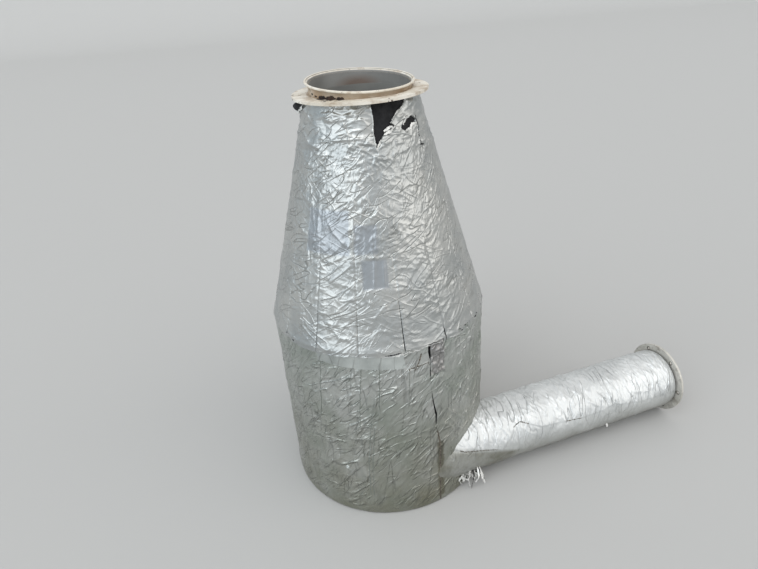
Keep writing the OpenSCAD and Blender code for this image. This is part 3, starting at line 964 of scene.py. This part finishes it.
def cone_gore(k):
    """One gore of foil-faced foam. Its lower edge laps over the barrel."""
    start_deg = SEAMS_DEG[k - 1]
    if start_deg > BACK_SEAM_DEG + 1:
        start_deg -= 360
    end_deg = start_deg + PITCH_DEG
    count, fine, coarse = 34, 3.2 * MM, 3.2 * MM
    if FRONT_DEG[0] - 10 < start_deg < FRONT_DEG[1]:
        count, fine, coarse = 50, 1.5 * MM, 2.1 * MM
    if -125 < start_deg < -60:
        count, fine, coarse = 58, 1.2 * MM, 2.1 * MM
    z = np.concatenate([steps(CONE_TOP_Z, FINE_ROWS_Z, fine)[:-1], steps(FINE_ROWS_Z, SHOULDER_Z, coarse)])
    across = np.linspace(0, 1, count + 1)
    start = math.radians(start_deg) + seam_opening(start_deg, z)
    end = math.radians(end_deg) - seam_opening(end_deg, z)
    angle = start + (end - start) * across[:, None]
    radius = cone_radius(z)
    grid_z = np.broadcast_to(z, angle.shape)
    beside = np.minimum(angle - math.radians(start_deg), math.radians(end_deg) - angle) * radius
    deep = 1.3 * MM * np.clip((FAINT_SEAMS_Z - z) / 0.06, 0.12, 1)
    lift = CONE.sample(angle, grid_z) - deep * seam_dip(beside)
    lift = lift * np.clip((CONE_TOP_Z + 2 * MM - z) / (6 * MM), 0.2, 1)
    turn_deg, height_mm = np.degrees(angle), grid_z / MM
    gone = torn(turn_deg, height_mm)
    edge = spread(gone, 2) * ~gone
    lift = np.where(gone, -TEAR_DEPTH + 0.3 * lift, lift + 0.8 * MM * edge)
    face_turn, face_height = middles(turn_deg), middles(height_mm)
    bare = torn(face_turn, face_height) | within(FOAM_LUMP, face_turn, face_height)
    surface = np.where(bare, FOAM_FACE, FOIL_FACE)

    # The skirt: its ragged lower edge, as the photograph shows it at the front, and how far it curls out
    rng = np.random.default_rng(100 + k)
    joint = np.clip(np.minimum(np.arange(count + 1), count - np.arange(count + 1)) / 5, 0, 1)
    ragged = np.interp(across, np.linspace(0, 1, 12), rng.uniform(-3, 3, 12)) * joint
    edge_deg = turn_deg[:, -1]
    seen = between(edge_deg, -158, -154) * (1 - between(edge_deg, -60, -56))
    edge_mm = (SHOULDER_Z - SKIRT) / MM - ragged
    edge_mm = edge_mm + (np.interp(edge_deg, *zip(*SKIRT_EDGE)) - edge_mm) * seen
    edge_mm = edge_mm + rng.uniform(-0.6, 0.6, count + 1) * joint
    curl = np.interp(across, np.linspace(0, 1, 8), rng.uniform(0, 2.6, 8)) * joint * MM
    drop = np.linspace(0, 1, 7)[1:]
    skirt_z = SHOULDER_Z - drop * (SHOULDER_Z - edge_mm * MM)[:, None]
    skirt_lift = CONE.sample(np.broadcast_to(angle[:, -1:], skirt_z.shape), skirt_z)
    skirt_r = WRAP_R + LAP + 0.5 * skirt_lift + curl[:, None] * drop ** 3

    into_lap = np.clip((SHOULDER_Z + 14 * MM - z) / (14 * MM), 0, 1)
    outer_r = radius + lift * math.cos(CONE_SLOPE) + LAP * 0.8 * into_lap + lump_rise(turn_deg, height_mm)
    outer_z = z + lift * math.sin(CONE_SLOPE)
    low_angle = angle[:, -1]
    inner = [
        on_axis(low_angle, skirt_r[:, -1] - 0.6 * MM, skirt_z[:, -1] + 0.3 * MM),
        on_axis(low_angle, WRAP_R + 0.6 * MM, SHOULDER_Z),
        on_axis(low_angle, FOAM_R, SHOULDER_Z),
        on_axis(angle[:, 0], CONE_TOP_R - FOAM + GAP, CONE_TOP_Z),
    ]
    outside = [on_axis(angle, outer_r, outer_z), on_axis(low_angle[:, None], skirt_r, skirt_z)]
    rings = np.concatenate(outside + [np.stack(inner, 1)], 1)
    surface = np.hstack([surface, np.full((count, len(drop)), FOIL_FACE)])
    node = f"cone_gore_{k:02d}"
    return ring_mesh(f"foil_{node}", rings, surface, [CONE_FOIL, FOAM_MATERIAL, DIRT_AND_LAP_SHADOW], node)


gores = [cone_gore(k) for k in range(1, GORES + 1)]

ROUND = 8 * MM
# Length of one degree round the barrel and the duct, in mm
BARREL_DEGREE = math.radians(1) * WRAP_R / MM
DUCT_DEGREE = math.radians(1) * DUCT_R / MM


def along_path(path, z):
    """Direction in radians of a seam at some heights."""
    turns, heights = zip(*path)
    return np.radians(np.interp(z / MM, heights, turns))


def half_gap(openings, z):
    """Half the opening of a seam at some heights, as an angle."""
    return np.interp(z / MM, *zip(*openings)) * MM / WRAP_R


def fanned(first, last, z, share):
    """Directions of a grid's columns at some heights, between two seams given with their openings."""
    start = along_path(first[0], z) + half_gap(first[1], z)
    end = along_path(last[0], z) - half_gap(last[1], z)
    return start + (end - start) * share[:, None]


def barrel_panel(node, first, last):
    """One upright panel of foil-faced foam between two seams with their openings, rounded at the floor."""
    top_z = SHOULDER_Z - GAP
    z = np.concatenate([
        steps(top_z, TAPE_LOW_Z, 4 * MM)[:-1], steps(TAPE_LOW_Z, ROUND, 2 * MM)[:-1],
        steps(ROUND, 0.4 * MM, 1.5 * MM),
    ])
    ends = [math.degrees(along_path(path, 0.25)) for path in (first[0], last[0])]
    share = shares(columns_of(*ends, 1.9 * MM, 4 * MM))
    angle = fanned(first, last, z, share)
    grid_z = np.broadcast_to(z, angle.shape)
    turn_deg, height_mm = np.degrees(angle), grid_z / MM
    lift = BARREL.sample(angle, grid_z)
    for seam in (MAIN_SEAM, BACK_SEAM, BEHIND_SEAM):
        lift = lift - 1.0 * MM * seam_dip(np.abs(angle - along_path(seam, z)) * WRAP_R)
    lift = lift * np.clip(grid_z / (20 * MM), 0.1, 1)
    lift = lift - 0.9 * MM * (line_distance(CRACKS, turn_deg, height_mm, BARREL_DEGREE) < 1.1)
    tuck = np.clip(1 - z / ROUND, 0, 0.999)
    radius = WRAP_R + lift - ROUND * (1 - np.sqrt(1 - tuck ** 2))

    face_turn, face_height = middles(turn_deg), middles(height_mm)
    # Faces along the crease lines take the darker finish as painted shade
    crease_shaded = line_distance(CREASE_SHADE_LINES, face_turn, face_height, BARREL_DEGREE) < 1.0
    cracked = line_distance(CRACKS, face_turn, face_height, BARREL_DEGREE) < 1.3
    rows = np.arange(crease_shaded.shape[1])
    knots = np.arange(0, len(rows) + 6, 6)
    dirt_mm = np.interp(rows, knots, np.random.default_rng(40).uniform(0.5, 3.4, len(knots)))
    beside = np.abs(np.radians(face_turn) - along_path(MAIN_SEAM, face_height * MM)) * WRAP_R
    dirty = cracked | ((beside < dirt_mm * MM) & (face_height < 250))
    surface = np.where(dirty, DIRT_AND_SHADOW_FACE, np.where(crease_shaded, OTHER_FACE, FOIL_FACE))

    inner_z = np.linspace(0, top_z, 14)
    inside = on_axis(fanned(first, last, inner_z, share), FOAM_R, inner_z)
    rings = np.concatenate([on_axis(angle, radius, z), inside], 1)
    finishes = [BARREL_FOIL, FOAM_MATERIAL, DIRT_AND_LAP_SHADOW, CREASE_SHADE]
    return ring_mesh(f"foil_{node}", rings, surface, finishes, node, outer_count=len(z))


right_panel = barrel_panel("barrel_wrap_right", (MAIN_SEAM, SLITS), (BACK_SEAM, HAIRLINE))
left_panel = barrel_panel("barrel_wrap_left", (BEHIND_SEAM, HAIRLINE), (LAP_SEAM, CLOSED))
strip = barrel_panel("barrel_wrap_strip", (LAP_SEAM, CLOSED), (MAIN_SEAM, SLITS))


def tape_band():
    """The band of foil tape below the shoulder, open at the front seam."""
    front_deg = -84
    right = columns_of(front_deg, BACK_SEAM_DEG, 2 * MM, 5 * MM)
    left = columns_of(BEHIND_DEG, front_deg, 2 * MM, 5 * MM)[1:] + 2 * math.pi
    nominal = np.concatenate([right, left])
    turn_deg = (np.degrees(nominal) - BEHIND_DEG) % 360 + BEHIND_DEG
    count = len(nominal)
    rng = np.random.default_rng(50)
    ragged = np.interp(np.arange(count), np.linspace(0, count, 60), rng.uniform(-1.5, 1.5, 60))
    low_mm = TAPE_LOW_Z / MM + ragged
    seen = between(turn_deg, -158, -154) * (turn_deg < -83.9)
    low_mm = low_mm + (np.interp(turn_deg, *zip(*TAPE_EDGE)) - low_mm) * seen
    top_z = TAPE_TOP_Z + 6 * MM
    z = top_z - np.linspace(0, 1, 26) * (top_z - low_mm * MM)[:, None]
    seam, open_by = along_path(MAIN_SEAM, z), half_gap(SLITS, z) + 0.4 * MM / WRAP_R
    angle = seam + open_by + (2 * math.pi - 2 * open_by) * shares(nominal)[:, None]
    behind = math.radians(BEHIND_DEG)
    turned = (angle - behind) % (2 * math.pi) + behind
    outer = WRAP_R + 0.7 * MM + 0.85 * BARREL.sample(turned, z)
    inside = on_axis(angle, outer - 0.5 * MM, z)[:, ::-1]
    rings = np.concatenate([on_axis(angle, outer, z), inside], 1)
    surface = np.full((count - 1, rings.shape[1]), FOIL_FACE)
    taped = (turn_deg > -141.5) & (turn_deg < -97)
    surface[taped[:-1]] = OTHER_FACE
    cracked = line_distance(CRACKS, middles(np.degrees(turned)), middles(z) / MM, BARREL_DEGREE) < 1.6
    surface[:, :cracked.shape[1]][cracked] = DIRT_AND_SHADOW_FACE
    finishes = [BARREL_FOIL, FOAM_MATERIAL, DIRT_AND_LAP_SHADOW, TAPE]
    return ring_mesh("tape_shoulder", rings, surface, finishes, "shoulder_tape")


band = tape_band()


def duct_sleeve(node, start_x, end_x):
    """A sleeve of foil-faced foam on the duct, drawn in at the flange."""
    upper = steps(math.radians(15), math.radians(205), 2.0 * MM / DUCT_R)[:-1]
    lower = steps(math.radians(205), math.radians(375), 4 * MM / DUCT_R)[:-1]
    turned = np.concatenate([upper, lower]) % (2 * math.pi)
    angle, x = np.meshgrid(turned, steps(start_x, end_x, 2.1 * MM), indexing="ij")
    ends = np.minimum(x - start_x, end_x - x)
    lift = DUCT.sample(angle, x) - 1.0 * MM * np.exp(-(ends / (2.5 * MM)) ** 2)
    if end_x == SLEEVE_END_X:
        lift = lift * np.clip(ends / (18 * MM), 0.1, 1) - 3.2 * MM * np.exp(-ends / (9 * MM))
    inner = [on_duct(x_end, turned, STEEL_DUCT_R + GAP)[:, None] for x_end in (end_x, start_x)]
    both = np.degrees([angle, np.roll(angle, -1, 0)])
    turn = np.where(np.ptp(both, 0) > 180, 0, both.mean(0))[:, :-1]
    # Faces along the lap's edge take the dark finish as painted shadow
    dark = line_distance(DUCT_LAP_SHADOW, turn, (x[:, :-1] + x[:, 1:]) / 2 / MM, DUCT_DEGREE)
    surface = np.where(dark < 1.2, DIRT_AND_SHADOW_FACE, FOIL_FACE)
    rings = np.concatenate([on_duct(x, angle, DUCT_R + lift), *inner], 1)
    return ring_mesh(f"foil_{node}", rings, surface, [DUCT_FOIL, FOAM_MATERIAL, DIRT_AND_LAP_SHADOW], node, wrap=True)


far_sleeve = duct_sleeve("duct_wrap_far", JOINT_X, SLEEVE_END_X)
near_sleeve = duct_sleeve("duct_wrap_near", 0.02, JOINT_X - GAP)


def cut(piece, centre, turn, radius, length, sides):
    """Takes a cylinder out of a closed piece. turn is the cylinder's turn from upright."""
    around = np.linspace(0, 2 * math.pi, sides, endpoint=False)
    ends = [np.stack([radius * np.cos(around), radius * np.sin(around), np.full(sides, z)], -1)
            for z in (-length / 2, length / 2)]
    points = np.stack(ends, 1).reshape(-1, 3) @ np.array(turn).T + np.array(centre)
    index = np.arange(sides * 2).reshape(sides, 2)
    beside = np.roll(index, -1, 0)
    faces = np.stack([index[:, 0], beside[:, 0], beside[:, 1], index[:, 1]], -1).tolist()
    faces += [index[::-1, 0].tolist(), index[:, 1].tolist()]
    cutter = add("cutter", new_mesh("cutter", points, faces, [FOAM_MATERIAL]))
    tool = piece.modifiers.new("cut", "BOOLEAN")
    tool.operation = "DIFFERENCE"
    tool.solver = "MANIFOLD"
    tool.object = cutter
    tool.material_mode = "TRANSFER"
    bpy.context.view_layer.update()
    graph = bpy.context.evaluated_depsgraph_get()
    done = bpy.data.meshes.new_from_object(piece.evaluated_get(graph), depsgraph=graph)
    piece.modifiers.remove(tool)
    old = piece.data
    piece.data = done
    bpy.data.meshes.remove(old)
    bpy.data.objects.remove(cutter)


# The duct's way through the barrel's foam, and the barrel's through the near sleeve
ALONG_X = Matrix.Rotation(math.radians(90), 3, "Y")
CUT_X = 0.5
cut(right_panel, (CUT_X / 2, DUCT_Y, DUCT_Z), ALONG_X, STEEL_DUCT_R + GAP, CUT_X, 128)
cut(near_sleeve, (0, 0, 0.2), Matrix.Identity(3), WRAP_R - 1.5 * MM, 0.6, 360)

for piece in [*gores, right_panel, left_panel, strip, band, near_sleeve, far_sleeve]:
    smooth(piece)


def sheet(name, grid, thickness, finish):
    """A thin closed sheet over a grid of points."""
    m, n = grid.shape[:2]
    normal = np.cross(np.gradient(grid, axis=0), np.gradient(grid, axis=1))
    normal /= np.linalg.norm(normal, axis=-1, keepdims=True) + 1e-12
    points = np.concatenate([(grid + side * normal * thickness / 2).reshape(-1, 3) for side in (1, -1)])
    index = np.arange(m * n).reshape(m, n)
    top = np.stack([index[:-1, :-1], index[1:, :-1], index[1:, 1:], index[:-1, 1:]], -1).reshape(-1, 4)
    rim = np.concatenate([index[:, 0], index[-1, 1:], index[-2::-1, -1], index[0, -2:0:-1]])
    ahead = np.roll(rim, -1)
    sides = np.stack([ahead, rim, rim + m * n, ahead + m * n], -1)
    quads = np.concatenate([top, top[:, ::-1] + m * n, sides])
    smooth(mesh_piece(name, points, quads, [], [finish], np.zeros(len(quads))), 60)


def ribbon(name, line, across, width_mm, finish, seed):
    """A ragged strip of foil along a line of places, lying along across."""
    rng = np.random.default_rng(seed)
    line = np.asarray(line, float)
    lengths = np.concatenate([[0], np.cumsum(np.linalg.norm(np.diff(line, axis=0), axis=1))])
    count = max(4, int(lengths[-1] / (1.5 * MM)))
    spots = np.linspace(0, lengths[-1], count)
    middle = np.stack([np.interp(spots, lengths, line[:, k]) for k in range(3)], -1)
    middle += rng.normal(0, 0.35 * MM, middle.shape)
    reach = width_mm * MM / 2 * (0.4 + 0.6 * np.sin(np.linspace(0.3, 2.9, count)))
    reach = reach * rng.uniform(0.75, 1.2, count)
    twist = np.cumsum(rng.normal(0, 0.14, count))[:, None]
    across = np.asarray(across, float) / np.linalg.norm(across)
    along = np.gradient(middle, axis=0)
    along /= np.linalg.norm(along, axis=1, keepdims=True)
    lean = across * np.cos(twist) + np.cross(along, across) * np.sin(twist)
    grid = np.stack([middle + lean * (s * reach)[:, None] for s in (-1, -0.35, 0.35, 1)], 1)
    grid += rng.normal(0, 0.25 * MM, grid.shape)
    grid[..., 2] = np.maximum(grid[..., 2], 0.5 * MM)
    sheet(name, grid, 0.35 * MM, finish)


def insulation_pin():
    """The washer of a pin that holds the barrel's foam."""
    profile = [(0.2, 0.3), (1.4, 0.4), (2.2, 1.5), (3.6, 1.6), (5.2, 0.9), (5.6, -1.5), (0.2, -1.5)]
    around = np.linspace(0, 2 * math.pi, 24, endpoint=False)[:, None, None]
    turn = math.radians(PIN_DEG)
    out, level = on_axis(turn, 1.0, 0.0), np.array([-math.sin(turn), math.cos(turn), 0])
    outward = np.cos(around) * level + np.sin(around) * np.array([0, 0, 1])
    r, h = (np.array(column)[:, None] for column in zip(*profile))
    rings = on_axis(turn, WRAP_R, PIN_Z) + MM * (r * outward + h * out)
    surface = np.full(rings.shape[:2], FOIL_FACE)
    smooth(ring_mesh("pin_washer", rings, surface, [TAPE, FOAM_MATERIAL], wrap=True), 60)


# Curled strips of foil at torn edges, as (direction in degrees, height in mm), and their width in mm
CURLS = [
    ([(-68, 1024), (-75, 1018), (-80, 1007), (-84, 997)], 8), ([(-80, 990), (-85, 982), (-91, 977)], 6),
    ([(-90.5, 984), (-86.5, 989), (-83, 991)], 6), ([(-60, 1005), (-67.5, 1000), (-72.5, 990)], 6),
    ([(-55.5, 985), (-62, 986), (-65, 979), (-71, 976)], 6),
    ([(-98.8, 958), (-99.8, 980), (-99, 1008)], 3.5), ([(-94, 968), (-97, 957), (-98.6, 950)], 4),
    ([(-205, 1034), (-200, 1021), (-193, 1014), (-186, 1015), (-181, 1024)], 8),
    ([(-184, 1018), (-179, 1028), (-178, 1040)], 8),
]


def torn_edges():
    """Curled strips along the tears of the cone, and where the skirt lifts at the front."""
    for k, (line, width) in enumerate(CURLS):
        turn_deg, height_mm = np.transpose(line)
        turn = np.radians(turn_deg)
        radius = cone_radius(height_mm * MM) + 3.0 * MM + lump_rise(turn_deg, height_mm)
        path = on_axis(turn, radius, height_mm * MM)
        out = on_axis(turn[1], 1.0, 0.25)
        across = np.cross(path[-1] - path[0], out)
        across = across / np.linalg.norm(across) + 0.35 * out
        ribbon(f"curl_{k + 1:02d}", path, across, width, SHRED, 90 + k)
    turn = np.radians([-103, -98.5, -95.5, -92])
    edge = on_axis(turn, WRAP_R + 5 * MM, np.array([0.5085, 0.511, 0.5135, 0.512]))
    ribbon("curl_skirt", edge, on_axis(turn[2], 0.5, 1.0), 12, SHRED, 99)


def hanging_scraps():
    """Shreds of foil and foam under the duct beside the barrel, and a small one farther along."""
    rng = np.random.default_rng(60)
    for k in range(18):
        x = rng.uniform(0.118, 0.172)
        y = rng.uniform(-0.262, -0.228)
        below = DUCT_R * math.sin(math.acos(np.clip((y - DUCT_Y) / DUCT_R, -1, 1)))
        start = np.array([x, y, DUCT_Z - below + 0.8 * MM])
        end_x, end_y = x + rng.uniform(-0.012, 0.022), y + rng.uniform(-0.016, 0.010)
        end = np.array([end_x, end_y, rng.uniform(0.003, 0.02)])
        bend = (start + end) / 2 + rng.normal(0, 0.008, 3)
        finish = FOAM_MATERIAL if k in (3, 7, 12) else SHRED
        ribbon(f"scrap_{k + 1:02d}", [start, bend, end], (1, 0.4, 0.2), rng.uniform(5, 10), finish, 61 + k)
    place = on_duct(0.586, math.radians(205), DUCT_R)
    line = [place, place + (0.001, -0.002, -0.007), place + (0.003, -0.001, -0.014)]
    ribbon("scrap_duct", line, (1, 0, 0), 7, SHRED, 80)


insulation_pin()
torn_edges()
hanging_scraps()

# The camera, from a fit to the outlines in the photograph
CAMERA_PLACE = Vector((-0.41117, -1.29972, 1.27406))
CAMERA_YAW = 0.31146
CAMERA_PITCH = 0.48833
CAMERA_ROLL = -0.08152
FOCAL_PX = 583.52
PHOTO_WIDTH_PX = 758


def floor():
    """A plain pale floor that curves up behind."""
    ahead = np.array([math.sin(CAMERA_YAW), math.cos(CAMERA_YAW), 0])
    aside = np.array([ahead[1], -ahead[0], 0])
    bend = [(14 + 5 * math.sin(t), 5 - 5 * math.cos(t)) for t in np.linspace(0, math.pi / 2, 12)]
    profile = [(-60, 0)] + bend + [(19, 12)]
    points = [ahead * d + aside * s + np.array([0, 0, z]) for d, z in profile for s in (-50, 50)]
    faces = [(2 * k, 2 * k + 1, 2 * k + 3, 2 * k + 2) for k in range(len(profile) - 1)]
    mesh = new_mesh("floor", points, faces, [Finish("floor").finish((0.715, 0.715, 0.71), 0.9)])
    mesh.shade_smooth()
    add("floor", mesh)


def sky():
    """A soft sky, a little cooler at the left and warmer at the right."""
    world = bpy.data.worlds.new("studio")
    world.use_nodes = True
    bpy.context.scene.world = world
    net = Net(world.node_tree)
    x, y, z = net.axes(net.node("TexCoord", {}, "Generated"))
    upward = net.ramp(z, (0.0, [0.86, 0.87, 0.88, 1]), (0.3, [0.97, 0.98, 1.0, 1]), (1.0, 1.0))
    aside = net.ramp(
        net.share(x, -0.9, 0.9), (0.0, [0.84, 0.94, 1.0, 1]), (0.5, 1.0), (1.0, [1.0, 0.975, 0.94, 1]),
    )
    back = world.node_tree.nodes["Background"].inputs
    net.feed(back["Color"], net.vector("MULTIPLY", upward, aside))
    net.feed(back["Strength"], 0.78)


def soft_sun(name, toward, energy, angle_deg, colour):
    """Even light from one direction, with soft shadows."""
    light = bpy.data.lights.new(name, "SUN")
    light.energy = energy
    light.angle = math.radians(angle_deg)
    light.color = colour
    held = add(name, light)
    held.rotation_mode = "QUATERNION"
    held.rotation_quaternion = Vector(toward).to_track_quat("Z", "Y")


def camera():
    """The camera at the photograph's viewing angle."""
    data = bpy.data.cameras.new("camera")
    data.sensor_width = 36
    data.lens = FOCAL_PX / PHOTO_WIDTH_PX * data.sensor_width
    held = add("camera", data)
    held.matrix_world = (
        Matrix.Translation(CAMERA_PLACE) @ Matrix.Rotation(-CAMERA_YAW, 4, "Z")
        @ Matrix.Rotation(math.pi / 2 - CAMERA_PITCH, 4, "X") @ Matrix.Rotation(CAMERA_ROLL, 4, "Z")
    )
    bpy.context.scene.camera = held


floor()
sky()
soft_sun("above", (-0.30, -0.45, 0.84), 0.65, 45, (1, 1, 1))
soft_sun("left", (-0.82, -0.35, 0.45), 0.95, 55, (0.94, 0.97, 1.0))
soft_sun("right", (0.58, -0.64, 0.50), 0.65, 60, (1.0, 0.98, 0.95))
camera()
bpy.context.scene.view_settings.view_transform = "Standard"
